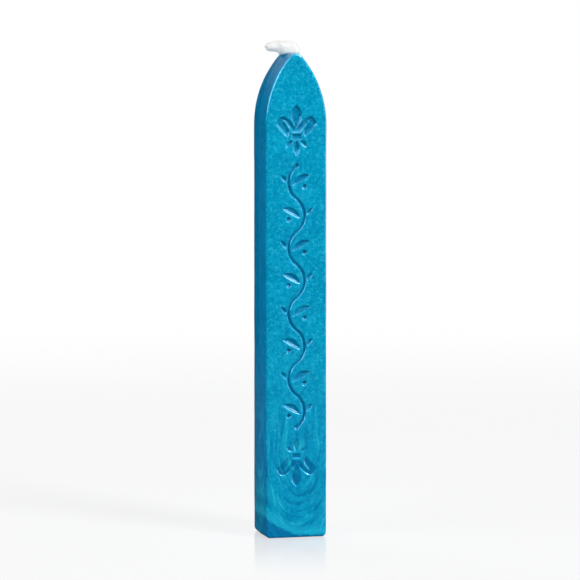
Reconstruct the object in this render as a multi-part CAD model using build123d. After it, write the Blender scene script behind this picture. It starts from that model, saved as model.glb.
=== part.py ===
"""Sealing wax stick: a pointed bar of wax, cast in a two-part mould round a cotton wick.

The bar stands on its base with +Z up. The origin is the middle of the base, the ornamented front face looks
along -Y, and the mould halves meet in the plane y = 0.
"""
from build123d import *
import math
import os

# Cast bar, in millimetres and degrees
BODY_LENGTH = 90.0  # base to crown, along the parting ridge
BODY_WIDTH = 12.0  # across the parting ridge
BODY_THICKNESS = 10.2  # front face to back face
DRAFT_ANGLE = 3.0  # of each mould half
SHOULDER_RADIUS = 19.7  # arcs that draw the sides in to the point
CROWN_RADIUS = 1.8  # rounding of the point
EDGE_RADIUS = 0.35  # rounding of the edges of both faces and the base

# Ornament, sunk into the front face
ORNAMENT_DEPTH = 0.35
EMBLEM_WIDTH = 7.6
CROWN_TO_EMBLEM = 14.8  # to the band of the upper fleur-de-lis
BASE_TO_EMBLEM = 14.6  # to the band of the lower one, which is upside down
EMBLEM_TO_VINE = 6.0  # from each band to the end of the vine
VINE_PITCH = 6.0  # nearest length of a bay, of which a whole number fills the span
VINE_SWAY = 1.5  # of the stem, to each side of the middle
VINE_STROKE = 0.55  # width of the stem
VINE_REACH = 2.6  # of the leaves, to each side of the middle
VINE_RISE = 1.2  # of the leaf tips above the middle of their bay

# Wick, cast into the bar, with its stub folded over to one side
WICK_DIAMETER = 2.2
WICK_CLEARANCE = 0.05  # between the wick and its channel
WICK_FOLD_DEPTH = 0.6  # from the crown down to where the fold starts
WICK_FOLD_RADIUS = 1.8
WICK_LEVEL_RUN = 1.0  # after the fold
WICK_END_RUN = 2.5  # drooping free end
WICK_DROOP_ANGLE = 12.0


def parting_outline():
    """Outline of the bar on the parting plane: straight sides, two shoulder arcs and a rounded crown.

    It runs on below the base, so that the draft leaves the base itself flat.
    """
    half_width = BODY_WIDTH / 2
    overrun = -BODY_THICKNESS
    arc_centre_x = half_width - SHOULDER_RADIUS
    crown_centre = Vector(0, BODY_LENGTH - CROWN_RADIUS)
    centre_distance = SHOULDER_RADIUS - CROWN_RADIUS
    shoulder_height = crown_centre.Y - math.sqrt(centre_distance**2 - arc_centre_x**2)
    to_crown = Vector(-arc_centre_x, crown_centre.Y - shoulder_height).normalized()
    crown_side = crown_centre + to_crown * CROWN_RADIUS

    right_side = Polyline((0, overrun), (half_width, overrun), (half_width, shoulder_height))
    shoulder = TangentArc(right_side @ 1, crown_side, tangent=right_side % 1)
    crown = TangentArc(shoulder @ 1, (0, BODY_LENGTH), tangent=shoulder % 1)
    right_half = Curve() + [right_side, shoulder, crown]
    return make_face(right_half + mirror(right_half, about=Plane.YZ))


def leaf(start, end, first_rise, second_rise):
    """Face between two arcs that share their ends, each given by its rise to the left of start-end."""
    first = SagittaArc(start, end, first_rise)
    second = SagittaArc(start, end, second_rise)
    return make_face(first + second)


def fleur_de_lis():
    """Traditional three-petalled lily about its band, drawn on a grid of half its width, tip upwards.

    The petals run together above the band, and the end of each side petal is forked and curls down.
    """
    middle_side = Spline((0, 0.1), (0.2, 0.58), (0.25, 0.9), (0, 1.36))
    middle_petal = make_face(middle_side + mirror(middle_side, about=Plane.YZ))
    root = (0.2, 0.04)
    fork = (0.62, 0.55)
    curl_end = (0.46, -0.16)
    tip = (1, 0.43)
    underside = Spline(root, (0.3, 0.2), (0.44, 0.38), fork)
    curl = Spline(fork, (0.46, 0.3), (0.36, 0.08), curl_end)
    outside = SagittaArc(curl_end, tip, -0.02)
    top = Spline(tip, (0.68, 0.79), (0.31, 0.57), (0, 0.22))
    middle = Polyline((0, 0.22), (0, 0.04), root)
    side_petal = make_face(Curve() + [underside, curl, outside, top, middle])
    knot = Pos(0, -0.19) * RectangleRounded(0.48, 0.26, 0.05)
    foot = leaf((0, -0.38), (0, -1.08), 0.15, -0.15)
    foot_lobe = leaf((0.16, -0.39), (0.5, -0.67), 0.13, -0.06)
    one_side = Sketch() + [side_petal, foot_lobe]
    drawing = Sketch() + [middle_petal, knot, foot, one_side, mirror(one_side, about=Plane.YZ)]
    return scale(drawing, EMBLEM_WIDTH / 2)


def vine_leaves(pitch):
    """Leaves of one bay whose stem bulges to the right: leaf and berry in the hollow, bud on the outside."""
    middle = pitch / 2
    inner = VINE_SWAY - VINE_STROKE / 2
    outer = VINE_SWAY + VINE_STROKE / 2
    tip = middle + VINE_RISE
    leaf_root = (inner - VINE_STROKE, middle - VINE_STROKE)
    hollow_leaf = leaf(leaf_root, (-VINE_REACH, tip), 0.25 * VINE_STROKE, -1.75 * VINE_STROKE)
    bud_root = (outer + VINE_STROKE / 2, middle)
    bud = leaf(bud_root, (outer + VINE_REACH / 2, tip), VINE_STROKE, -0.25 * VINE_STROKE)
    berry = Pos(-VINE_SWAY, middle - 1.5 * VINE_STROKE) * Circle(0.75 * VINE_STROKE)
    return Sketch() + [hollow_leaf, bud, berry]


def running_vine(low, high):
    """Wavy stem between two heights, its bays bulging right and left in turn, with round ends."""
    count = max(1, round((high - low) / VINE_PITCH))
    pitch = (high - low) / count
    right_leaves = vine_leaves(pitch)
    left_leaves = mirror(right_leaves, about=Plane.YZ)
    stem = Curve()
    vine = Sketch()
    for index in range(count):
        foot = low + index * pitch
        side = -1 if index % 2 else 1
        stem += SagittaArc((0, foot), (0, foot + pitch), -side * VINE_SWAY)
        vine += Pos(0, foot) * (right_leaves if side > 0 else left_leaves)
    vine += trace(stem, VINE_STROKE)
    vine += [Pos(0, height) * Circle(0.75 * VINE_STROKE) for height in (low, high)]
    return vine


def wick_path():
    """Centre line of the wick: up the bar, folded level above the crown, drooping at its free end."""
    level = BODY_LENGTH - WICK_FOLD_DEPTH + WICK_FOLD_RADIUS
    knee = -WICK_FOLD_RADIUS - WICK_LEVEL_RUN
    droop = math.radians(WICK_DROOP_ANGLE)
    droop_radius = 0.45 * min(WICK_LEVEL_RUN, WICK_END_RUN) / math.tan(droop / 2)
    end = (knee - WICK_END_RUN * math.cos(droop), 0, level - WICK_END_RUN * math.sin(droop))
    return FilletPolyline(
        (0, 0, 0), (0, 0, level), (knee, 0, level), end, radius=[WICK_FOLD_RADIUS, droop_radius]
    )


def wick_solid(diameter):
    """Round cord of the given diameter along the wick's path."""
    return sweep(Circle(diameter / 2), path=wick_path())


def wax_body():
    """Two drafted halves on one parting outline, rounded edges, wick channel and sunk ornament."""
    half_thickness = BODY_THICKNESS / 2
    outline = Plane.XZ * parting_outline()
    body = extrude(outline, amount=half_thickness, taper=DRAFT_ANGLE)
    body += mirror(body, about=Plane.XZ)
    body = split(body, bisect_by=Plane.XY, keep=Keep.TOP)

    faces = body.faces().sort_by(Axis.Y)
    base = body.faces().sort_by(Axis.Z)[0]
    rounded = faces[0].edges() + faces[-1].edges() + base.edges()
    body = fillet(rounded, EDGE_RADIUS)

    body -= wick_solid(WICK_DIAMETER + 2 * WICK_CLEARANCE)

    front = Plane(origin=(0, -half_thickness, 0), x_dir=(1, 0, 0), z_dir=(0, -1, 0))
    upper_band = BODY_LENGTH - CROWN_TO_EMBLEM
    upper = Pos(0, upper_band) * fleur_de_lis()
    lower = Pos(0, BASE_TO_EMBLEM) * Rot(0, 0, 180) * fleur_de_lis()
    vine = running_vine(BASE_TO_EMBLEM + EMBLEM_TO_VINE, upper_band - EMBLEM_TO_VINE)
    ornament = Sketch() + [upper, lower, vine]
    body -= extrude(front * ornament, amount=-ORNAMENT_DEPTH)
    return body


def main():
    os.makedirs("parts", exist_ok=True)
    nodes = {"wax_body": wax_body(), "wick": wick_solid(WICK_DIAMETER)}
    for name, solid in nodes.items():
        export_step(solid, f"parts/{name}.step")


main()
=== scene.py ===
"""Sealing wax stick: a pointed bar of pearl blue wax with a sunk ornament, cast round a cotton wick.

The bar stands on z = 0 with its front face towards -Y, and the wick is bent over towards -X. Shapes are
drawn in millimetres, and meshes, lights and the camera are in metres.
"""
import bpy
import math
import numpy as np
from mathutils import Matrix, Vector


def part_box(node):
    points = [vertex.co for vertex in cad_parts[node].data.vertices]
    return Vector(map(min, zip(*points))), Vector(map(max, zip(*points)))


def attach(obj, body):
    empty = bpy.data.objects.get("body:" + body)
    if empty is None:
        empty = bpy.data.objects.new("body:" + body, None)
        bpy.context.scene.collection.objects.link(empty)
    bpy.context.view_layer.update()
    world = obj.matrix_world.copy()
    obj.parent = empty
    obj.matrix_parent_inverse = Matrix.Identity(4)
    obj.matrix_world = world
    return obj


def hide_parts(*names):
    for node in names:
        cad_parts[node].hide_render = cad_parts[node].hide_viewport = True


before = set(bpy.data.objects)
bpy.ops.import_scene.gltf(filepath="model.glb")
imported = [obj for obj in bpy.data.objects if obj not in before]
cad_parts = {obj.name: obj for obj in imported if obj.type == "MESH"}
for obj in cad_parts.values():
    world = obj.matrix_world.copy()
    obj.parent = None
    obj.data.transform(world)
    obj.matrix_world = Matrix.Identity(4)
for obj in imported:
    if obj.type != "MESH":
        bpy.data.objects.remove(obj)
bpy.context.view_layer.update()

MM = 0.001
BODY = "root"

# Cast bar
bar_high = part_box("wax_body")[1] / MM
HALF_WIDTH = bar_high.x
HALF_THICKNESS = bar_high.y
BODY_LENGTH = 90.0
DRAFT = math.tan(math.radians(3.0))
SHOULDER_RADIUS = 19.7
CROWN_RADIUS = 1.8
EDGE_RADIUS = 0.35
BASE_CORNER_RADIUS = 0.9
PARTING_RIDGE = 0.015  # height of the thin fin where the mould halves met
LONG_WAVES = 0.022  # height of the slow waves in the cast surface
SHORT_WAVES = 0.008
BASE_NORMAL = -0.5  # upward part of the outline's normal, below which it is the base, which has no waves

# Mesh of the bar: columns across and rows up the front face, closest over the ornament
COLUMNS = 92
ROWS = 680
BACK_STEP = 4  # columns and rows of the front to one of the back
DENSE_HALF_WIDTH = 4.2  # of the close columns, from the middle
DENSE_PAST_EMBLEM = 6.0  # reach of the close rows past the bands of both emblems
SPARSE = 0.4  # closeness of the rest
SPARSE_EASE = 0.08  # share of the length over which the closeness changes
GRADING_MARKS = 4000
WALL_STATIONS = (0.0, 0.15, 1.4, 3.0)  # distances from the parting plane
EDGE_STEPS = 3

# Sunk ornament
ORNAMENT_DEPTH = 0.42
SHALLOW_DEPTH = 0.13  # of the lower emblem
SHALLOW_SOFTNESS = 1.4  # of its edges, against those of the rest
LIP = 0.08  # how far the soft edge starts outside the outline
RAMP = 0.22  # how far inside the outline it reaches full depth
EMBLEM_SIZE = 3.8
UPPER_EMBLEM = 75.2  # height of its band
LOWER_EMBLEM = 14.6
EMBLEM_TO_VINE = 6.0
VINE_BAYS = 8
VINE_SWAY = 1.5
VINE_STROKE = 0.55
VINE_REACH = 2.6
VINE_RISE = 1.2
BERRY_RADIUS = 0.75 * VINE_STROKE
ARC_POINTS = 20
TAIL_ROOT = (0, 1.3)  # of the faint mark past the tip of each emblem, on the emblem's grid
TAILS = (((-0.04, 1.62), 0.06), ((-0.04, 1.84), 0.03))  # the ends and depths of its two parts
TAIL_HALF_WIDTH = 0.2
PIN_HOLES = (
    (2.0, 6.2), (2.7, 4.8), (1.2, 5.4), (3.5, 7.6), (-1.3, 3.6), (4.0, 2.7),
    (0.5, 7.3), (-3.7, 6.6), (3.2, 10.1), (4.3, 24.4), (-4.2, 33.1), (3.9, 47.3),
    (-4.4, 58.0), (4.2, 66.8), (-3.1, 81.2), (1.6, 84.3), (-0.7, 82.6),
)
PIN_HOLE_RADIUS = 0.07
PIN_HOLE_DEPTH = 0.22

# Painted shade in the ornament, darker where it is sunk
DEEP_SHADE = 0.65  # darkness of the rest, against that of the lower emblem
SHADE_RANGE = (0.1, 0.9)  # shares of the depth between which the shade comes in
SHADE_GAP = 1.0  # from the end of the lower emblem's shade up to the vine

# Streaks in the wax near the base
BOW_MIDDLE = 0.8
BOW_HALF_WIDTH = 6.0
BOW_HEIGHT = 24.0  # above which the streaks run straight up
BOW_BOTTOM = 3.5
BOW_DRIFT = 0.5  # how far slow noise moves the bows
BOW_CURL = 0.05  # how far quick noise ruffles them
STREAK_COUNT = 20.0  # from the middle out
STREAK_CHANGE = 0.2  # per millimetre along a streak
STREAK_FADE = (36.0, 13.0)  # heights between which the streaks come in
STREAK_FADE_DRIFT = 24.0
PALE_RANGE = (0.52, 0.68)  # of the noise, in which streaks turn pale
DEEP_RANGE = (0.5, 0.3)

# Darker wax at the foot, with a pale rim above it
FOOT_HEIGHT = 0.35
FOOT_TURN = 2.0  # where its edge starts to climb
FOOT_CLIMB = 0.058
FOOT_WAVER = 0.9
FOOT_RANGE = (0.35, -0.35)
FOOT_PLANE = -0.5  # behind which it is fainter
FOOT_BEHIND = 0.4
RIM_START = (-0.2, 0.5)  # heights above the foot's edge
RIM_END = (2.4, 0.5)

# Noise in the wax: scale per millimetre, detail and roughness
NOISE_MIDDLE = 0.5
DRIFT_NOISE = (0.09, 1.0)
CURL_NOISE = (0.7, 3.0, 0.6)
STREAK_NOISE = (1.0, 4.0, 0.62)
CLOUD_NOISE = (0.3, 3.0, 0.6)
GRAIN_NOISE = (1.4, 2.0, 0.6)
FLAKE_NOISE = (3.6, 2.0, 0.75)
RIPPLE_NOISE = (1.6, 3.0)
CLOUD_RANGE = (0.3, 0.7)
LIGHT_FLAKE_RANGE = (0.5, 0.8)
DARK_FLAKE_RANGE = (0.5, 0.2)
FLAKE_ROUGHNESS = (0.3, 0.7, 0.3, 0.42)  # range of the flake, and of the roughness that it gives
GRAIN_SHARE = 0.8
RIPPLE_SHARE = 0.6

# Colours of the wax, as screen values
CLOUD_LOW = (0, 156, 200)
CLOUD_HIGH = (4, 170, 212)

# Colours that are mixed into it: the greatest share of each, then its screen values
LIGHT_FLAKE = (0.75, 54, 196, 228)
DARK_FLAKE = (0.8, 0, 126, 178)
LOWER_WAX = (0.4, 0, 156, 206)
PALE_STREAK = (0.8, 38, 200, 230)
DEEP_STREAK = (0.8, 0, 116, 172)
FOOT_RIM = (0.45, 38, 200, 230)
DARK_FOOT = (0.75, 0, 108, 168)

# Painted shade in the ornament and on the sides, as factors on the colour
RECESS_PAINTED_SHADE = (0.45, 0.6, 0.72, 1)
# Painted shade on the sides: darker and bluer where the surface faces sideways
SIDE_PAINTED_SHADE = (0.7, 0.8, 1.0, 1)
SIDE_RANGE = (0.4, 0.1)  # facings to the front or back between which the painted shade of the sides comes in
SIDE_HEIGHTS = (2.0, 18.0)  # heights between which it does

# Wick, from the base to the free end: (x, z) of its inner and of its outer side, and its half width
WICK_ROUTE = (
    (-1.1, 0.0, 1.1, 0.0, 1.1),
    (-1.1, 30.0, 1.1, 30.0, 1.1),
    (-1.1, 60.0, 1.1, 60.0, 1.1),
    (-1.1, 85.0, 1.1, 85.0, 1.1),
    (-1.2, 88.2, 1.15, 88.2, 1.15),
    (-1.7, 89.2, 1.5, 89.2, 1.35),
    (-2.15, 89.7, 1.8, 89.95, 1.45),
    (-2.32, 89.85, 1.78, 90.5, 1.45),
    (-2.38, 89.9, 1.5, 91.1, 1.42),
    (-2.42, 89.93, 1.1, 91.52, 1.4),
    (-2.44, 89.95, 0.5, 91.9, 1.4),
    (-2.46, 89.96, -0.3, 92.11, 1.38),
    (-2.5, 89.98, -1.2, 92.18, 1.4),
    (-2.54, 90.0, -1.7, 92.18, 1.36),
    (-2.62, 90.02, -2.15, 92.14, 1.14),
    (-2.78, 90.05, -2.6, 92.08, 0.95),
    (-3.05, 90.08, -3.0, 92.0, 0.93),
    (-3.4, 90.1, -3.45, 91.92, 0.97),
    (-3.8, 90.14, -3.9, 91.82, 0.98),
    (-4.2, 90.24, -4.3, 91.68, 0.94),
    (-4.5, 90.46, -4.6, 91.44, 0.8),
    (-4.74, 90.8, -4.77, 91.18, 0.4),
)
ROUTE_RESOLUTION = 40
WICK_CLEARANCE = 0.08  # between the wick and its channel, which holds the wick's strands
CHANNEL_OVERRUN = 1.0  # below the base, where the channel is open
SHARP_ANGLE = 60.0  # of the channel's rims
WICK_SIDES = 60
FIRST_SIDE = 0.37  # of a side, which keeps the wick's points off the bar's own mesh lines
STUB_LENGTH = 9.0  # stretch at the free end that has close rings
STUB_STEP = 0.09
HIDDEN_STEP = 1.2
PLIES = 3
PLY_PITCH = 8.0
PLY_DEPTH = 0.07
PLY_LEVEL = 0.7  # share of a ply's height that is on the route's own outline
FIBRES = ((0.014, 17, 0.8, 2.1), (0.01, 29, -1.3, 1.7))  # depth, number round the wick, sway and its rate

# Cotton of the wick, and the wax that has crept up its root
FIBRE_LENGTH = 10.0  # of wick in one unit of its texture
FIBRE_STRETCH = (4.0, 40.0, 1.0)
FIBRE_NOISE = (1.0, 3.0, 0.6)
FIBRE_RANGE = (0.35, 0.65)
COTTON_LOW = (240, 236, 228)
COTTON_HIGH = (254, 249, 241)
CREEP_NOISE = 1.1
CREEP_WAVER = 0.8
CREEP_END = -2.1  # past which the free end stays clean
CREEP_FALL = 2.0
STAIN_RANGE = (90.7, 90.2)  # heights between which the stain comes in
STAIN_SHARE = 0.5
STAIN = (160, 205, 222)
SOAKED_RANGE = (90.3, 89.9)
SOAKED = (20, 130, 170)

# Floor, with its radius and the distances from the stick in metres
FLOOR_RADIUS = 0.45
FLOOR_SIDES = 96
FLOOR_FADE = (0.16, 0.42)  # between which it turns clear
FLOOR_LIGHT = (0.55, 0.55, 0.55, 1)  # as it lights the stick
FLOOR_MIRRORED = (0.04, 0.04, 0.04, 1)  # as the stick's gloss shows it
FLOOR_SEEN = (0.84, 0.85, 0.86, 1)
FLOOR_WHITE = (0.99, 0.99, 0.99, 1)
FLOOR_WHITENESS = 0.82
FLOOR_GLOSS = (0.97, 0.97, 0.97, 1)
FLOOR_ROUGHNESS = 0.08
FLOOR_SHINE = 0.26
SHINE_REACH = (0.05, 0.0)  # between which its reflection comes in
GRAZING_RANGE = (0.785, 0.835)  # slants of view between which it does

# Surroundings
AMBIENT = 0.1
OVERHEAD_RANGE = (0.1, 0.65)
BEHIND_RANGES = (("Y", 0.3, 0.7), ("Z", 0.0, 0.06), ("X", 0.0, 0.2), ("X", 0.5, 0.36))
MIDDLE = (0.0, 0.0, 0.0458)  # that the camera and the lamps are aimed at
CAMERA_PLACE = (-0.1333, -0.5496, 0.0946)
CAMERA_LENS = 189.0
CAMERA_SENSOR = 36.0


def srgb(red, green, blue):
    """Colour from 0-255 screen values, as the linear colour that shaders take."""
    parts = [value / 255 for value in (red, green, blue)]
    linear = [part / 12.92 if part <= 0.04045 else ((part + 0.055) / 1.055) ** 2.4 for part in parts]
    return (*linear, 1.0)


def smoothstep(low, high, value):
    """0 below low, 1 above high and an easy curve between them."""
    share = np.clip((value - low) / (high - low), 0, 1)
    return share * share * (3 - 2 * share)


def graded(count, length, dense_low, dense_high):
    """Marks from 0 to length, closest between two places."""
    fine = np.linspace(0, length, GRADING_MARKS)
    ease = SPARSE_EASE * length
    rise = smoothstep(dense_low - ease, dense_low, fine)
    fall = smoothstep(dense_high, dense_high + ease, fine)
    weight = SPARSE + (1 - SPARSE) * (rise - fall)
    total = np.concatenate([[0], np.cumsum((weight[1:] + weight[:-1]) / 2)])
    return np.interp(np.linspace(0, total[-1], count + 1), total, fine)


def on_arc(centre, radius, angle):
    """Points of an arc in the XZ plane and its outward normals."""
    normal = np.stack([np.cos(angle), np.sin(angle)], axis=-1)
    return np.array(centre) + radius * normal, normal


def right_side():
    """Parting outline from half way round the base corner up to the crown, and its normals.

    The third value is the angle at which the crown takes over.
    """
    crown_height = BODY_LENGTH - CROWN_RADIUS
    reach = SHOULDER_RADIUS - HALF_WIDTH
    rise = math.sqrt((SHOULDER_RADIUS - CROWN_RADIUS) ** 2 - reach**2)
    shoulder_height = crown_height - rise
    crown_angle = math.atan2(rise, reach)
    corner_length = BASE_CORNER_RADIUS * math.pi / 4
    straight = shoulder_height - BASE_CORNER_RADIUS
    total = corner_length + straight + SHOULDER_RADIUS * crown_angle
    marks = graded(ROWS, total, LOWER_EMBLEM - DENSE_PAST_EMBLEM, UPPER_EMBLEM + DENSE_PAST_EMBLEM)

    corner_centre = (HALF_WIDTH - BASE_CORNER_RADIUS, BASE_CORNER_RADIUS)
    corner = on_arc(corner_centre, BASE_CORNER_RADIUS, marks / BASE_CORNER_RADIUS - math.pi / 4)
    along = marks - corner_length
    line = np.stack([np.full_like(marks, HALF_WIDTH), BASE_CORNER_RADIUS + along], axis=-1)
    shoulder_angle = (along - straight) / SHOULDER_RADIUS
    shoulder = on_arc((-reach, shoulder_height), SHOULDER_RADIUS, shoulder_angle)

    in_corner = (along < 0)[:, None]
    in_shoulder = (shoulder_angle > 0)[:, None]
    points = np.where(in_corner, corner[0], np.where(in_shoulder, shoulder[0], line))
    normals = np.where(in_corner, corner[1], np.where(in_shoulder, shoulder[1], [1.0, 0.0]))
    return points, normals, crown_angle


def base_line():
    """Parting outline along the base, from left to right, and its normals."""
    corner_length = BASE_CORNER_RADIUS * math.pi / 4
    flat = 2 * (HALF_WIDTH - BASE_CORNER_RADIUS)
    total = flat + 2 * corner_length
    middle = total / 2
    marks = graded(COLUMNS, total, middle - DENSE_HALF_WIDTH, middle + DENSE_HALF_WIDTH)
    overrun = np.clip((np.abs(marks - middle) - flat / 2) / BASE_CORNER_RADIUS, 0, None)
    angle = -math.pi / 2 + np.sign(marks - middle) * overrun
    centre_x = np.clip(marks - middle, -flat / 2, flat / 2)
    centres = np.stack([centre_x, np.full_like(marks, BASE_CORNER_RADIUS)], axis=-1)
    return on_arc(centres, BASE_CORNER_RADIUS, angle)


def bar_outline():
    """Closed parting outline, counter-clockwise from the left end of the base, and its normals."""
    base = base_line()
    right = right_side()
    across = base[0][:, 0] / base[0][-1, 0]
    crown_sweep = np.arccos(across * math.cos(right[2]))
    crown = on_arc((0, BODY_LENGTH - CROWN_RADIUS), CROWN_RADIUS, crown_sweep)
    mirror = np.array([-1.0, 1.0])
    return [
        np.concatenate([base[k], right[k][1:], crown[k][-2::-1], (right[k] * mirror)[-2:0:-1]])
        for k in (0, 1)
    ]


def bar_profile():
    """Rows through the thickness, front to back: (y, inset by the draft, inset by the rounding)."""
    wall_end = HALF_THICKNESS - EDGE_RADIUS
    half = [(y, y * DRAFT, 0.0) for y in (*WALL_STATIONS, wall_end)]
    half[0] = (0.0, 0.0, -PARTING_RIDGE)
    for step in range(1, EDGE_STEPS + 1):
        turn = step / EDGE_STEPS * math.pi / 2
        y = wall_end + EDGE_RADIUS * math.sin(turn)
        half.append((y, wall_end * DRAFT, EDGE_RADIUS * (1 - math.cos(turn))))
    front = [(-y, draft, rounding) for y, draft, rounding in half[:0:-1]]
    return front + half


def patch(loop, columns, rows):
    """Grid of points that fills a closed loop of 2 * (columns + rows) points."""
    bottom = loop[: columns + 1]
    right = loop[columns : columns + rows + 1]
    top = loop[columns + rows : 2 * columns + rows + 1][::-1]
    left = np.concatenate([loop[2 * columns + rows :], loop[:1]])[::-1]
    across = np.abs(bottom[:, 0] - bottom[0, 0]) / abs(bottom[-1, 0] - bottom[0, 0])
    up = (right[:, 1] - right[0, 1]) / (right[-1, 1] - right[0, 1])
    u = across[None, :, None]
    v = up[:, None, None]
    sides = (1 - u) * left[:, None] + u * right[:, None]
    ends = (1 - v) * bottom[None] + v * top[None]
    corners = (1 - v) * ((1 - u) * bottom[0] + u * bottom[-1]) + v * ((1 - u) * top[0] + u * top[-1])
    return sides + ends - corners


def arc(start, end, rise):
    """Arc between two points that rises to the left of start-end."""
    start = np.array(start, float)
    chord = np.array(end, float) - start
    half = 2 * math.atan2(2 * rise, np.hypot(*chord))
    turn = half * np.linspace(-1, 1, ARC_POINTS)
    along = (np.sin(turn) / math.sin(half) + 1) / 2
    aside = (np.cos(turn) - math.cos(half)) / (2 * math.sin(half))
    left = np.array([-chord[1], chord[0]])
    return start + along[:, None] * chord + aside[:, None] * left


def leaf(start, end, first_rise, second_rise):
    """Closed outline between two arcs that share their ends."""
    return np.concatenate([arc(start, end, first_rise), arc(start, end, second_rise)[-2:0:-1]])


def cubic(points):
    """Smooth line through four points."""
    points = np.array(points, float)
    steps = np.hypot(*np.diff(points, axis=0).T)
    marks = np.concatenate([[0], np.cumsum(steps)]) / steps.sum()
    fine = np.linspace(0, 1, ARC_POINTS)
    return np.stack([np.polyval(np.polyfit(marks, points[:, k], 3), fine) for k in (0, 1)], axis=-1)


def fleur_de_lis():
    """Outlines of a traditional lily about its band, on a grid of half its width, tip upwards.

    The petals run together above the band, and the end of each side petal is forked and curls down.
    """
    mirror = np.array([-1.0, 1.0])
    middle_side = cubic([(0, 0.1), (0.2, 0.58), (0.25, 0.9), (0, 1.36)])
    middle_petal = np.concatenate([middle_side, (middle_side * mirror)[-2:0:-1]])
    fork = (0.62, 0.55)
    curl_end = (0.46, -0.16)
    tip = (1, 0.43)
    underside = cubic([(0.2, 0.04), (0.3, 0.2), (0.44, 0.38), fork])
    curl = cubic([fork, (0.46, 0.3), (0.36, 0.08), curl_end])
    outside = arc(curl_end, tip, -0.02)
    top = cubic([tip, (0.68, 0.79), (0.31, 0.57), (0, 0.22)])
    overlap = [(-0.15, 0.1), (-0.15, 0.04)]
    side_petal = np.concatenate([overlap, underside, curl[1:], outside[1:], top[1:]])
    knot = np.array([(-0.24, -0.32), (0.24, -0.32), (0.24, -0.06), (-0.24, -0.06)])
    foot = leaf((0, -0.38), (0, -1.08), 0.15, -0.15)
    foot_lobe = leaf((0.16, -0.39), (0.5, -0.67), 0.13, -0.06)
    one_side = [side_petal, foot_lobe]
    return [middle_petal, knot, foot, *one_side, *(outline * mirror for outline in one_side)]


def vine_leaves(pitch):
    """Outlines of one bay whose stem bulges to the right: leaf in the hollow and bud on the outside."""
    middle = pitch / 2
    inner = VINE_SWAY - VINE_STROKE / 2
    outer = VINE_SWAY + VINE_STROKE / 2
    tip = middle + VINE_RISE
    leaf_root = (inner - VINE_STROKE, middle - VINE_STROKE)
    hollow_leaf = leaf(leaf_root, (-VINE_REACH, tip), 0.25 * VINE_STROKE, -1.75 * VINE_STROKE)
    bud_root = (outer + VINE_STROKE / 2, middle)
    bud = leaf(bud_root, (outer + VINE_REACH / 2, tip), VINE_STROKE, -0.25 * VINE_STROKE)
    return [hollow_leaf, bud]


def segment_distances(x, z, line):
    """Distance from each point to a closed line, and whether the line goes round the point."""
    nearest = np.full_like(x, np.inf)
    inside = np.zeros(x.shape, bool)
    for (ax, az), (bx, bz) in zip(line, np.roll(line, -1, axis=0)):
        ex, ez = bx - ax, bz - az
        wx, wz = x - ax, z - az
        share = np.clip((wx * ex + wz * ez) / max(ex * ex + ez * ez, 1e-12), 0, 1)
        nearest = np.minimum(nearest, np.hypot(wx - share * ex, wz - share * ez))
        crosses = (az <= z) != (bz <= z)
        inside ^= crosses & ((ex * wz - ez * wx > 0) == (bz > az))
    return nearest, inside


def ornament_depth(x, z):
    """Depth of the sunk ornament and of the pin holes at each point of the front face."""
    depth = np.zeros_like(x)

    def sink(line, half_stroke=0.0, bottom=ORNAMENT_DEPTH, softness=1.0):
        """Sinks what a closed line holds or, with a half stroke, a stroke along an open line."""
        lip = softness * LIP
        margin = lip + half_stroke
        low = line.min(axis=0) - margin
        high = line.max(axis=0) + margin
        near = (x > low[0]) & (x < high[0]) & (z > low[1]) & (z < high[1])
        closed = np.concatenate([line, line[-2:0:-1]]) if half_stroke else line
        nearest, inside = segment_distances(x[near], z[near], closed)
        distance = nearest - half_stroke if half_stroke else np.where(inside, -nearest, nearest)
        depth[near] = np.maximum(depth[near], bottom * smoothstep(lip, -softness * RAMP, distance))

    upper_band = np.array([0, UPPER_EMBLEM])
    lower_band = np.array([0, LOWER_EMBLEM])
    for outline in fleur_de_lis():
        sink(outline * EMBLEM_SIZE + upper_band)
        sink(outline * -EMBLEM_SIZE + lower_band, bottom=SHALLOW_DEPTH, softness=SHALLOW_SOFTNESS)
    for end, bottom in TAILS:
        tail = np.array([TAIL_ROOT, end])
        sink(tail * EMBLEM_SIZE + upper_band, TAIL_HALF_WIDTH, bottom)
        sink(tail * -EMBLEM_SIZE + lower_band, TAIL_HALF_WIDTH, bottom)

    vine_low = LOWER_EMBLEM + EMBLEM_TO_VINE
    vine_high = UPPER_EMBLEM - EMBLEM_TO_VINE
    pitch = (vine_high - vine_low) / VINE_BAYS
    stem = arc((0, 0), (0, pitch), -VINE_SWAY)
    leaves = vine_leaves(pitch)
    berry = np.array([(-VINE_SWAY, pitch / 2 - 1.5 * VINE_STROKE)])
    for bay in range(VINE_BAYS):
        side = np.array([-1.0 if bay % 2 else 1.0, 1.0])
        foot = np.array([0, vine_low + bay * pitch])
        sink(stem * side + foot, VINE_STROKE / 2)
        for outline in leaves:
            sink(outline * side + foot)
        sink(berry * side + foot, BERRY_RADIUS)
    for height in (vine_low, vine_high):
        sink(np.array([(0, height)]), BERRY_RADIUS)
    for place in PIN_HOLES:
        sink(np.array([place]), PIN_HOLE_RADIUS, PIN_HOLE_DEPTH)
    return depth


def unevenness(x, y, z):
    """Slow waves of a cast surface."""
    slow = np.sin(0.31 * z + 0.9 * np.sin(0.17 * z) + 0.4 * x) * np.sin(0.23 * x + 0.37 * y + 0.11 * z)
    quick = np.sin(0.83 * z + 1.1 * x - 0.4 * y) * np.sin(0.61 * z - 0.9 * x + 0.7 * y)
    return LONG_WAVES * slow + SHORT_WAVES * quick


def new_object(name, vertices, faces, material):
    """Smooth mesh object from points in millimetres."""
    mesh = bpy.data.meshes.new(name)
    mesh.from_pydata((np.asarray(vertices) * MM).tolist(), [], faces)
    mesh.shade_smooth()
    mesh.materials.append(material)
    piece = bpy.data.objects.new(name, mesh)
    bpy.context.scene.collection.objects.link(piece)
    return piece


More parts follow.
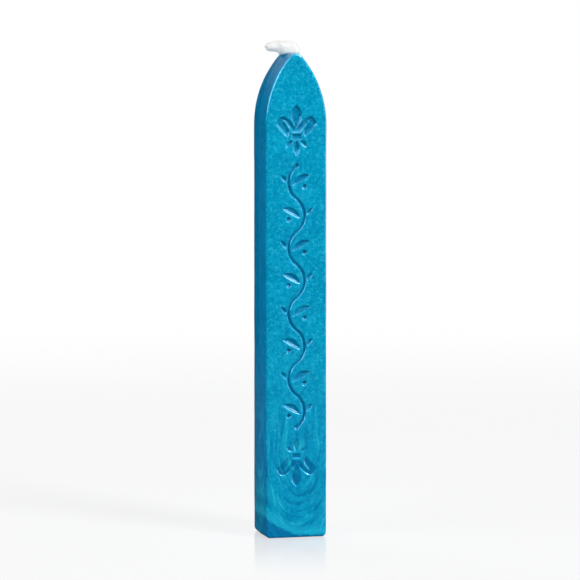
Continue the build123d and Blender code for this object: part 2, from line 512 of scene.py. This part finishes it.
def bands(rings, sides):
    """Corners of the quads between neighbouring rings: two on one ring, then two on the next."""
    for ring in range(rings - 1):
        here, there = ring * sides, (ring + 1) * sides
        for k in range(sides):
            after = (k + 1) % sides
            yield here + k, here + after, there + after, there + k


def bar_walls(points, normals):
    """Loops round the bar, front to back, and all their points with the waves of the cast surface."""
    count = len(points)
    drafted = np.where(normals[:, 1] >= 0, 1.0, np.abs(normals[:, 0]))
    loops = []
    for y, draft, rounding in bar_profile():
        inset = draft * drafted + rounding * np.where(rounding < 0, drafted, 1.0)
        flat = points - normals * inset[:, None]
        loops.append(np.stack([flat[:, 0], np.full(count, y), flat[:, 1]], axis=-1))
    walls = np.concatenate(loops)
    outward = np.stack([normals[:, 0], np.zeros(count), normals[:, 1]], axis=-1)
    on_base = np.tile(normals[:, 1] < BASE_NORMAL, len(loops))
    wave = np.where(on_base, 0, unevenness(*walls.T))
    edge_share = smoothstep(HALF_THICKNESS - EDGE_RADIUS, HALF_THICKNESS, np.abs(walls[:, 1]))
    walls += np.tile(outward, (len(loops), 1)) * (wave * (1 - edge_share))[:, None]
    return loops, walls


def cap_places(loop, columns, rows):
    """Places inside a loop that its cap's grid fills, as x and z."""
    return patch(loop[:, [0, 2]], columns, rows)[1:-1, 1:-1].reshape(-1, 2).T


def cap_index(rim, inner_start, columns, rows):
    """Vertex numbers of a cap's grid, from those of its rim and the first inner one."""
    index = np.zeros((rows + 1, columns + 1), int)
    inner_count = (rows - 1) * (columns - 1)
    index[1:-1, 1:-1] = inner_start + np.arange(inner_count).reshape(rows - 1, columns - 1)
    index[0] = rim[: columns + 1]
    index[:, -1] = rim[columns : columns + rows + 1]
    index[-1] = rim[columns + rows : 2 * columns + rows + 1][::-1]
    index[1:, 0] = rim[2 * columns + rows :][::-1]
    return index


def with_rim(ring, first, count):
    """Face of the coarse back with the rim's in-between points put into its outer edges."""
    face = []
    for here, after in zip(ring, ring[1:] + ring[:1]):
        face.append(int(here))
        if here < first or after < first or here >= first + count or after >= first + count:
            continue
        step = (after - here) % count
        if step == BACK_STEP:
            face += [first + (here - first + k) % count for k in range(1, BACK_STEP)]
        elif step == count - BACK_STEP:
            face += [first + (here - first - k) % count for k in range(1, BACK_STEP)]
    return face


def painted_ornament_shade(z, sunk):
    """Painted shade of each point of the front face, from its height and how far it is sunk."""
    in_lower = z < LOWER_EMBLEM + EMBLEM_TO_VINE - SHADE_GAP
    dark_depth = np.where(in_lower, SHALLOW_DEPTH, ORNAMENT_DEPTH / 2)
    return np.where(in_lower, 1, DEEP_SHADE) * smoothstep(*SHADE_RANGE, sunk / dark_depth)


def wax_mesh():
    """Points and faces of the bar before the wick's channel is cut, and the painted shade of each point.
    """
    points, normals = bar_outline()
    count = len(points)
    loops, walls = bar_walls(points, normals)
    faces = [(a, d, c, b) for a, b, c, d in bands(len(loops), count)]

    x, z = cap_places(loops[0], COLUMNS, ROWS)
    sunk = ornament_depth(x, z)
    front = np.stack([x, -HALF_THICKNESS + sunk + unevenness(x, -HALF_THICKNESS, z), z], axis=-1)
    # Painted shade, from how deep each point is sunk
    painted_shade = painted_ornament_shade(z, sunk)
    index = cap_index(np.arange(count), len(walls), COLUMNS, ROWS)
    faces += [
        (index[j, i], index[j, i + 1], index[j + 1, i + 1], index[j + 1, i])
        for j in range(ROWS)
        for i in range(COLUMNS)
    ]

    columns, rows = COLUMNS // BACK_STEP, ROWS // BACK_STEP
    x, z = cap_places(loops[-1][::BACK_STEP], columns, rows)
    back = np.stack([x, HALF_THICKNESS + unevenness(x, HALF_THICKNESS, z), z], axis=-1)
    first = len(walls) - count
    rim = first + np.arange(0, count, BACK_STEP)
    index = cap_index(rim, len(walls) + len(front), columns, rows)
    for j in range(rows):
        for i in range(columns):
            ring = [index[j, i], index[j + 1, i], index[j + 1, i + 1], index[j, i + 1]]
            faces.append(with_rim(ring, first, count))
    painted_shades = np.concatenate([np.zeros(len(walls)), painted_shade, np.zeros(len(back))])
    return np.concatenate([walls, front, back]), faces, painted_shades


def route_points(route):
    """Points of the smooth line that a route of control points gives."""
    curve = bpy.data.curves.new("wick_route", "CURVE")
    curve.dimensions = "3D"
    curve.resolution_u = ROUTE_RESOLUTION
    spline = curve.splines.new("NURBS")
    spline.points.add(len(route) - 1)
    for point, place in zip(spline.points, route):
        point.co = (*place, 1)
    spline.order_u = 3
    spline.use_endpoint_u = True
    carrier = bpy.data.objects.new("wick_route", curve)
    mesh = bpy.data.meshes.new_from_object(carrier)
    points = np.array([vertex.co for vertex in mesh.vertices])
    bpy.data.objects.remove(carrier)
    bpy.data.curves.remove(curve)
    bpy.data.meshes.remove(mesh)
    return points


def wick_tube(swell, detail):
    """Rings of a tube along the wick's route, how far along each ring is, and the turn of each point."""
    inner = route_points([(x, half, z) for x, z, _, _, half in WICK_ROUTE])
    outer = route_points([(x, half, z) for _, _, x, z, half in WICK_ROUTE])
    middle = (inner + outer) / 2
    steps = np.linalg.norm(np.diff(middle[:, [0, 2]], axis=0), axis=1)
    marks = np.concatenate([[0], np.cumsum(steps)])
    total = marks[-1]
    hidden = np.arange(0, total - STUB_LENGTH, HIDDEN_STEP)
    stub = np.arange(total - STUB_LENGTH, total, STUB_STEP)
    at = np.concatenate([hidden, stub, [total]])
    inner, outer = (
        np.stack([np.interp(at, marks, line[:, k]) for k in range(3)], axis=-1) for line in (inner, outer)
    )
    flat = np.array([1.0, 0.0, 1.0])
    centres = (inner + outer) / 2 * flat
    upward = (outer - inner) / 2
    half_height = np.linalg.norm(upward, axis=1)
    upward /= half_height[:, None]
    half_width = outer[:, 1]

    turn = (np.arange(WICK_SIDES) + FIRST_SIDE) / WICK_SIDES * 2 * math.pi
    lay = turn[None] - 2 * math.pi * at[:, None] / PLY_PITCH
    ply = PLY_DEPTH * (np.abs(np.cos(PLIES * lay / 2)) - PLY_LEVEL)
    fibre = sum(
        depth * np.sin(number * lay + sway * np.sin(rate * at[:, None]))
        for depth, number, sway, rate in FIBRES
    )
    aside = np.array([0.0, 1.0, 0.0])

    def rings(girth):
        up = (half_height[:, None] * girth + swell) * np.cos(turn)
        out = (half_width[:, None] * girth + swell) * np.sin(turn)
        return centres[:, None] + up[..., None] * upward[:, None] + out[..., None] * aside

    spacing = np.linalg.norm(np.gradient(rings(np.ones_like(ply)), axis=0), axis=-1)
    room = np.clip(spacing / STUB_STEP, 0, 1)
    return rings(1 + detail * room * (ply + fibre)), at, turn


def tube_faces(ring_count):
    """Quads of a tube and its two end faces."""
    last = (ring_count - 1) * WICK_SIDES
    ends = [tuple(range(WICK_SIDES))[::-1], tuple(range(last, last + WICK_SIDES))]
    return [*bands(ring_count, WICK_SIDES), *ends]


def wick_piece(material):
    """Twisted cotton cord, bunched where it folds over the tip and flattened at its free end."""
    rings, at, turn = wick_tube(0.0, 1.0)
    piece = new_object("cotton_wick", rings.reshape(-1, 3), tube_faces(len(rings)), material)
    lengths = np.repeat(at, WICK_SIDES)
    turns = np.tile(turn, len(at))
    layer = piece.data.uv_layers.new(name="fibre")
    for polygon in piece.data.polygons:
        spread = [turns[piece.data.loops[k].vertex_index] for k in polygon.loop_indices]
        wraps = max(spread) - min(spread) > math.pi
        for k, angle in zip(polygon.loop_indices, spread):
            angle += 2 * math.pi if wraps and angle < math.pi else 0
            length = lengths[piece.data.loops[k].vertex_index]
            layer.data[k].uv = (length / FIBRE_LENGTH, angle / (2 * math.pi))
    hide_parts("wick")
    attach(piece, BODY)


def wax_piece(material):
    """Cast bar with the wick's channel cut through it."""
    vertices, faces, painted_shades = wax_mesh()
    piece = new_object("wax_bar", vertices, faces, material)
    # Painted shade of the ornament, kept on the points for the material
    piece.data.attributes.new("painted_recess_shade", "FLOAT", "POINT").data.foreach_set("value", painted_shades)
    rings = wick_tube(WICK_CLEARANCE, 0.0)[0]
    rings[0, :, 2] -= CHANNEL_OVERRUN
    cutter = new_object("channel", rings.reshape(-1, 3), tube_faces(len(rings)), material)
    cut = piece.modifiers.new("channel", "BOOLEAN")
    cut.operation = "DIFFERENCE"
    cut.solver = "EXACT"
    cut.object = cutter
    depsgraph = bpy.context.evaluated_depsgraph_get()
    mesh = bpy.data.meshes.new_from_object(piece.evaluated_get(depsgraph))
    piece.modifiers.clear()
    piece.data = mesh
    bpy.data.objects.remove(cutter)
    mesh.set_sharp_from_angle(angle=math.radians(SHARP_ANGLE))
    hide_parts("wax_body")
    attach(piece, BODY)


class Graph:
    """Node tree of a material or world."""

    def __init__(self, owner):
        self.owner = owner
        owner.use_nodes = True
        self.tree = owner.node_tree
        self.tree.nodes.clear()

    def node(self, kind, inputs, **settings):
        """New node of a kind, with its settings and its inputs, which are values or other sockets."""
        made = self.tree.nodes.new("ShaderNode" + kind)
        for name, value in settings.items():
            setattr(made, name, value)
        for name, value in inputs.items():
            if isinstance(value, bpy.types.NodeSocket):
                self.tree.links.new(value, made.inputs[name])
            else:
                made.inputs[name].default_value = value
        return made

    def math(self, operation, *values):
        """Result of a math node."""
        return self.node("Math", dict(enumerate(values)), operation=operation).outputs[0]

    def product(self, value, *others):
        """Product of values."""
        for other in others:
            value = self.math("MULTIPLY", value, other)
        return value

    def remap(self, value, low, high, to_low=0.0, to_high=1.0):
        """Value eased from one range to another and held at its ends."""
        inputs = {"Value": value, "From Min": low, "From Max": high, "To Min": to_low, "To Max": to_high}
        return self.node("MapRange", inputs, interpolation_type="SMOOTHSTEP").outputs[0]

    def noise(self, vector, scale, detail=2.0, roughness=0.5):
        """Noise about its middle."""
        inputs = {"Vector": vector, "Scale": scale, "Detail": detail, "Roughness": roughness}
        return self.node("TexNoise", inputs).outputs["Fac"]

    def mix(self, share, first, second, blend="MIX"):
        """Colour between two others, or between the first and its product with the second."""
        inputs = {0: share, 6: first, 7: second}
        return self.node("Mix", inputs, data_type="RGBA", blend_type=blend).outputs[2]

    def coordinates(self, kind):
        """Texture coordinates of a kind."""
        return self.node("TexCoord", {}).outputs[kind]

    def axes(self, vector):
        """X, Y and Z of a vector."""
        return self.node("SeparateXYZ", {0: vector}).outputs

    def length(self, vector):
        """Length of a vector."""
        return self.node("VectorMath", {0: vector}, operation="LENGTH").outputs["Value"]

    def millimetres(self):
        """Place on the object, in millimetres."""
        inputs = {0: self.coordinates("Object"), "Scale": 1 / MM}
        return self.node("VectorMath", inputs, operation="SCALE").outputs[0]

    def seen(self, path):
        """1 for what is looked at directly or through something clear."""
        return self.math("MAXIMUM", path["Is Camera Ray"], path["Is Transmission Ray"])

    def surface(self, shader):
        """Makes a shader the material's surface."""
        self.node("OutputMaterial", {"Surface": shader})
        return self.owner


def flow_bows(graph, axes, drift, curl):
    """Number that is the same all along each of a set of nested bows, which hang round the wick."""
    across = graph.math("DIVIDE", graph.math("SUBTRACT", axes["X"], BOW_MIDDLE), BOW_HALF_WIDTH)
    through = graph.math("DIVIDE", axes["Y"], BOW_HALF_WIDTH)
    sunk = graph.math("MINIMUM", graph.math("SUBTRACT", axes["Z"], BOW_HEIGHT), 0.0)
    below = graph.math("DIVIDE", sunk, BOW_HEIGHT - BOW_BOTTOM)
    bow = graph.length(graph.node("CombineXYZ", {0: across, 1: through, 2: below}).outputs[0])
    bow = graph.math("MULTIPLY_ADD", drift, BOW_DRIFT, bow)
    return graph.math("MULTIPLY_ADD", curl, BOW_CURL, bow)


def streaks(graph, axes, drift, curl):
    """Noise that is drawn out along the bows."""
    across = graph.math("MULTIPLY", flow_bows(graph, axes, drift, curl), STREAK_COUNT)
    along = graph.math("MULTIPLY", axes["Z"], STREAK_CHANGE)
    aside = graph.math("MULTIPLY", graph.math("ADD", axes["X"], axes["Y"]), STREAK_CHANGE)
    flow = graph.node("CombineXYZ", {0: across, 1: along, 2: aside}).outputs[0]
    return graph.noise(flow, *STREAK_NOISE)


def height_above_foot(graph, axes, curl):
    """Height above the edge of the darker wax at the foot, which climbs towards one side."""
    climb = graph.math("MAXIMUM", graph.math("SUBTRACT", FOOT_TURN, axes["X"]), 0.0)
    climb = graph.product(climb, climb, FOOT_CLIMB)
    above = graph.math("SUBTRACT", graph.math("SUBTRACT", axes["Z"], FOOT_HEIGHT), climb)
    return graph.math("MULTIPLY_ADD", curl, FOOT_WAVER, above)


def wax_colour(graph, place, axes, flake):
    """Cloudy blue with flake, feathery streaks near the base, a dark foot, and painted shade in the
    ornament and on the sides.
    """
    drift = graph.math("SUBTRACT", graph.noise(place, *DRIFT_NOISE), NOISE_MIDDLE)
    curl = graph.math("SUBTRACT", graph.noise(place, *CURL_NOISE), NOISE_MIDDLE)
    streak = streaks(graph, axes, drift, curl)
    fade = graph.remap(graph.math("MULTIPLY_ADD", drift, STREAK_FADE_DRIFT, axes["Z"]), *STREAK_FADE)
    above_foot = height_above_foot(graph, axes, curl)
    foot_strength = graph.remap(axes["Y"], FOOT_PLANE, -HALF_THICKNESS, FOOT_BEHIND, 1.0)
    layers = (
        (graph.remap(flake, *LIGHT_FLAKE_RANGE), LIGHT_FLAKE),
        (graph.remap(flake, *DARK_FLAKE_RANGE), DARK_FLAKE),
        (fade, LOWER_WAX),
        (graph.product(graph.remap(streak, *PALE_RANGE), fade), PALE_STREAK),
        (graph.product(graph.remap(streak, *DEEP_RANGE), fade), DEEP_STREAK),
        (graph.product(graph.remap(above_foot, *RIM_START), graph.remap(above_foot, *RIM_END)), FOOT_RIM),
        (graph.product(graph.remap(above_foot, *FOOT_RANGE), foot_strength), DARK_FOOT),
    )
    cloud = graph.remap(graph.noise(place, *CLOUD_NOISE), *CLOUD_RANGE)
    colour = graph.mix(cloud, srgb(*CLOUD_LOW), srgb(*CLOUD_HIGH))
    for share, (most, *layer_colour) in layers:
        colour = graph.mix(graph.math("MULTIPLY", share, most), colour, srgb(*layer_colour))

    # Painted shade in the sunk ornament, darkest in the shallow lower emblem
    painted_recess_shade = graph.node("Attribute", {}, attribute_name="painted_recess_shade").outputs["Fac"]
    colour = graph.mix(painted_recess_shade, colour, RECESS_PAINTED_SHADE, "MULTIPLY")
    # Painted shade on the sides, darker and bluer where the surface faces sideways, fading out towards the
    # base
    facing = graph.math("ABSOLUTE", graph.axes(graph.coordinates("Normal"))["Y"])
    painted_side_shade = graph.product(graph.remap(facing, *SIDE_RANGE), graph.remap(axes["Z"], *SIDE_HEIGHTS))
    return graph.mix(painted_side_shade, colour, SIDE_PAINTED_SHADE, "MULTIPLY")


def pearl_wax():
    """Satin pearl wax with fine flake."""
    graph = Graph(bpy.data.materials.new("pearl_wax"))
    place = graph.millimetres()
    grain = graph.math("SUBTRACT", graph.noise(place, *GRAIN_NOISE), NOISE_MIDDLE)
    flake = graph.math("MULTIPLY_ADD", grain, GRAIN_SHARE, graph.noise(place, *FLAKE_NOISE))
    height = graph.math("MULTIPLY_ADD", graph.noise(place, *RIPPLE_NOISE), RIPPLE_SHARE, flake)
    bump = graph.node("Bump", {"Height": height, "Strength": 0.35, "Distance": 0.03 * MM}).outputs[0]
    shader = graph.node(
        "BsdfPrincipled",
        {
            "Base Color": wax_colour(graph, place, graph.axes(place), flake),
            "Roughness": graph.remap(flake, *FLAKE_ROUGHNESS),
            "Metallic": 0.2,
            "Specular IOR Level": 0.0,
            "Specular Tint": (0.15, 0.3, 0.45, 1),
            "Coat Weight": 0.9,
            "Coat Roughness": 0.14,
            "Normal": bump,
        },
    )
    return graph.surface(shader.outputs[0])


def waxed_cotton():
    """Bleached cotton with fibres along the twist, tinted at its root where the wax has crept up."""
    graph = Graph(bpy.data.materials.new("waxed_cotton"))
    along = graph.node("UVMap", {}, uv_map="fibre").outputs[0]
    strands = graph.node("VectorMath", {0: along, 1: FIBRE_STRETCH}, operation="MULTIPLY").outputs[0]
    fibre = graph.noise(strands, *FIBRE_NOISE)
    place = graph.millimetres()
    axes = graph.axes(place)
    free_end = graph.math("MAXIMUM", graph.math("SUBTRACT", CREEP_END, axes["X"]), 0.0)
    creep = graph.math("MULTIPLY_ADD", graph.noise(place, CREEP_NOISE), CREEP_WAVER, axes["Z"])
    creep = graph.math("MULTIPLY_ADD", free_end, CREEP_FALL, creep)
    colour = graph.mix(graph.remap(fibre, *FIBRE_RANGE), srgb(*COTTON_LOW), srgb(*COTTON_HIGH))
    stained = graph.math("MULTIPLY", graph.remap(creep, *STAIN_RANGE), STAIN_SHARE)
    colour = graph.mix(stained, colour, srgb(*STAIN))
    colour = graph.mix(graph.remap(creep, *SOAKED_RANGE), colour, srgb(*SOAKED))
    bump = graph.node("Bump", {"Height": fibre, "Strength": 0.5, "Distance": 0.06 * MM}).outputs[0]
    shader = graph.node(
        "BsdfPrincipled",
        {
            "Base Color": colour,
            "Roughness": 0.8,
            "Specular IOR Level": 0.1,
            "Subsurface Weight": 1.0,
            "Subsurface Radius": (1.0, 1.0, 1.0),
            "Subsurface Scale": 3.0 * MM,
            "Normal": bump,
        },
    )
    return graph.surface(shader.outputs[0])


def floor_material():
    """Pale floor with a soft shadow and a faint reflection, which fades out into the white background."""
    graph = Graph(bpy.data.materials.new("pale_floor"))
    path = graph.node("LightPath", {}).outputs
    seen = graph.seen(path)
    colour = graph.mix(path["Is Glossy Ray"], FLOOR_LIGHT, FLOOR_MIRRORED)
    colour = graph.mix(seen, colour, FLOOR_SEEN)
    matt = graph.node("BsdfDiffuse", {"Color": colour}).outputs[0]
    white = graph.node("Emission", {"Color": FLOOR_WHITE}).outputs[0]
    whiteness = graph.math("MULTIPLY", seen, FLOOR_WHITENESS)
    matt = graph.node("MixShader", {0: whiteness, 1: matt, 2: white}).outputs[0]
    gloss = graph.node("BsdfGlossy", {"Color": FLOOR_GLOSS, "Roughness": FLOOR_ROUGHNESS}).outputs[0]
    radius = graph.length(graph.coordinates("Object"))
    facing = graph.node("LayerWeight", {"Blend": 0.5}).outputs["Facing"]
    grazing = graph.remap(facing, *GRAZING_RANGE)
    shine = graph.product(graph.remap(radius, *SHINE_REACH), grazing, FLOOR_SHINE)
    floor = graph.node("MixShader", {0: shine, 1: matt, 2: gloss}).outputs[0]
    clear = graph.node("BsdfTransparent", {}).outputs[0]
    edge = graph.remap(radius, *FLOOR_FADE)
    return graph.surface(graph.node("MixShader", {0: edge, 1: floor, 2: clear}).outputs[0])


def add_floor():
    """Round floor under the stick."""
    turns = np.arange(FLOOR_SIDES) / FLOOR_SIDES * 2 * math.pi
    rim = FLOOR_RADIUS * np.stack([np.cos(turns), np.sin(turns), np.zeros(FLOOR_SIDES)], axis=-1)
    mesh = bpy.data.meshes.new("floor")
    mesh.from_pydata(rim.tolist(), [], [tuple(range(FLOOR_SIDES))])
    mesh.materials.append(floor_material())
    floor = bpy.data.objects.new("floor", mesh)
    bpy.context.scene.collection.objects.link(floor)


def add_world():
    """White to look at, a dim even light, and in reflections white overhead and behind, dark elsewhere."""
    world = bpy.data.worlds.new("studio")
    graph = Graph(world)
    path = graph.node("LightPath", {}).outputs
    direction = graph.axes(graph.coordinates("Generated"))
    overhead = graph.remap(direction["Z"], *OVERHEAD_RANGE)
    behind = graph.product(*(graph.remap(direction[axis], *limits) for axis, *limits in BEHIND_RANGES))
    mirrored = graph.math("MULTIPLY", path["Is Glossy Ray"], graph.math("MAXIMUM", overhead, behind))
    matt = graph.math("MULTIPLY", graph.math("SUBTRACT", 1.0, path["Is Glossy Ray"]), AMBIENT)
    strength = graph.math("MAXIMUM", graph.math("MAXIMUM", graph.seen(path), mirrored), matt)
    light = graph.node("Background", {"Color": (1, 1, 1, 1), "Strength": strength})
    graph.node("OutputWorld", {"Surface": light.outputs[0]})
    bpy.context.scene.world = world


def aim(thing, place, target):
    """Puts a lamp or camera at a place, looking at a target."""
    thing.location = place
    thing.rotation_euler = (Vector(target) - Vector(place)).to_track_quat("-Z", "Y").to_euler()


def add_lamp(name, place, size, power, matt=True, gloss=True):
    """Soft box of a width and height, which lights surfaces, shows in their gloss, or both."""
    lamp = bpy.data.lights.new(name, "AREA")
    lamp.shape = "RECTANGLE"
    lamp.size, lamp.size_y = size
    lamp.energy = power
    holder = bpy.data.objects.new(name, lamp)
    bpy.context.scene.collection.objects.link(holder)
    holder.visible_diffuse = matt
    holder.visible_glossy = gloss
    aim(holder, place, MIDDLE)


def add_camera():
    """Camera in front of the stick, to its left and a little above its middle, with a long lens."""
    camera = bpy.data.cameras.new("camera")
    camera.lens = CAMERA_LENS
    camera.sensor_width = CAMERA_SENSOR
    holder = bpy.data.objects.new("camera", camera)
    bpy.context.scene.collection.objects.link(holder)
    aim(holder, CAMERA_PLACE, MIDDLE)
    bpy.context.scene.camera = holder


wax_piece(pearl_wax())
wick_piece(waxed_cotton())
add_floor()
add_world()
add_lamp("key", (0.48, -0.62, 0.5), (0.3, 0.3), power=7.5)
add_lamp("top_gloss", (0.35, -0.05, 0.7), (0.6, 0.5), power=3.8, matt=False)
add_lamp("left_top", (-0.62, -0.2, 0.34), (0.5, 0.4), power=2.5)
add_lamp("left_gloss", (-0.62, -0.19, 0.42), (0.8, 0.55), power=4.6, matt=False)
add_lamp("right_gloss", (0.56, -0.36, 0.1), (0.25, 0.25), power=0.9, matt=False)
add_lamp("back_fill", (-0.18, 0.85, 0.17), (0.5, 0.4), power=6.0, gloss=False)
add_camera()
bpy.context.scene.view_settings.view_transform = "Standard"
